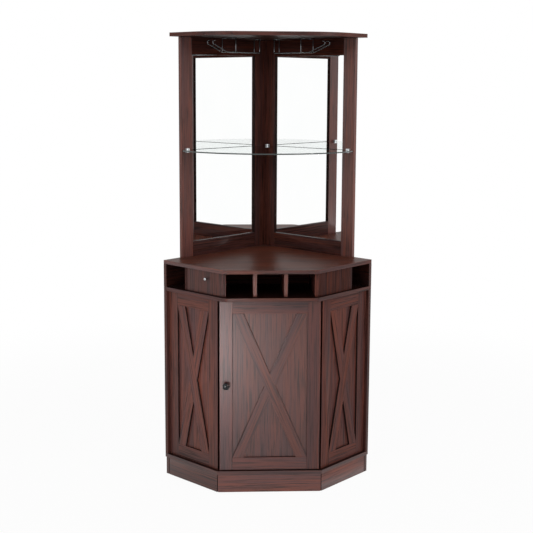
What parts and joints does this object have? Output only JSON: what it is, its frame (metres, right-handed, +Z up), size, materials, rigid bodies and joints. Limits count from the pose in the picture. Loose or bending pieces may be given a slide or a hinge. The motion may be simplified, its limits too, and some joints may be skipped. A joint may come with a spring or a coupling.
{
  "type": "corner bar cabinet",
  "caption": "Corner bar cabinet: braced base with a hinged door, row of bottle bays, counter, and a mirrored hutch with a glass shelf and hanging racks for stemware.",
  "frame": {"origin": "on the floor, in the middle of the cabinet's bounding box", "axes": "+Z up, the front with its door faces -Y, the room's corner is at +Y, its walls at 45 degrees to X"},
  "size_m": [0.8428, 0.6636, 1.8],
  "materials": {
    "laminate": "dark brown wood-grain laminate, satin",
    "mirror": "silvered glass",
    "glass": "clear, polished, greenish edge",
    "chrome": "bright",
    "dark_bronze": "dark, satin",
    "steel": "plain",
    "plastic": "matt"
  },
  "bodies": {
    "cabinet": {"bottle_back": "laminate", "bottle_divider_left": "laminate", "bottle_divider_right": "laminate", "bottle_wall_left": "laminate", "bottle_wall_right": "laminate", "bottom_board": "laminate", "counter_top": "laminate", "end_divider_left": "laminate", "end_divider_right": "laminate", "front_post_left": "laminate", "front_post_right": "laminate", "glass_shelf": "glass", "hutch_bottom_rail_left": "laminate", "hutch_bottom_rail_right": "laminate", "hutch_inner_stile_left": "laminate", "hutch_inner_stile_right": "laminate", "hutch_outer_stile_left": "laminate", "hutch_outer_stile_right": "laminate", "hutch_top_rail_left": "laminate", "hutch_top_rail_right": "laminate", "inner_shelf": "laminate", "lower_wall_panel_left": "laminate", "lower_wall_panel_right": "laminate", "magnetic_catch": "plastic", "mid_board": "laminate", "mirror_left": "mirror", "mirror_right": "mirror", "pivot_pin_lower": "steel", "pivot_pin_upper": "steel", "plinth_front": "laminate", "plinth_side_left": "laminate", "plinth_side_right": "laminate", "plinth_wall_left": "laminate", "plinth_wall_right": "laminate", "shelf_clamp_corner": "chrome", "shelf_clamp_left": "chrome", "shelf_clamp_right": "chrome", "side_brace_left": "laminate", "side_brace_right": "laminate", "side_frame_left": "laminate", "side_frame_right": "laminate", "side_panel_left": "laminate", "side_panel_right": "laminate", "stemware_rack_left": "chrome", "stemware_rack_right": "chrome", "top_panel": "laminate", "towel_knob": "chrome", "upper_side_panel_left": "laminate", "upper_side_panel_right": "laminate", "upper_wall_panel_left": "laminate", "upper_wall_panel_right": "laminate"},
    "door": {"door_brace": "laminate", "door_knob": "dark_bronze", "door_panel": "laminate", "door_rail_bottom": "laminate", "door_rail_top": "laminate", "door_stile_left": "laminate", "door_stile_right": "laminate", "knob_screw": "steel", "strike_plate": "steel"}
  },
  "joints": [
    {"name": "door_hinge", "type": "hinge", "parent": "cabinet", "child": "door", "pos_m": [0.181, -0.28184, 0.4305], "axis": [0, 0, 1], "range_deg": [0, 110]}
  ]
}
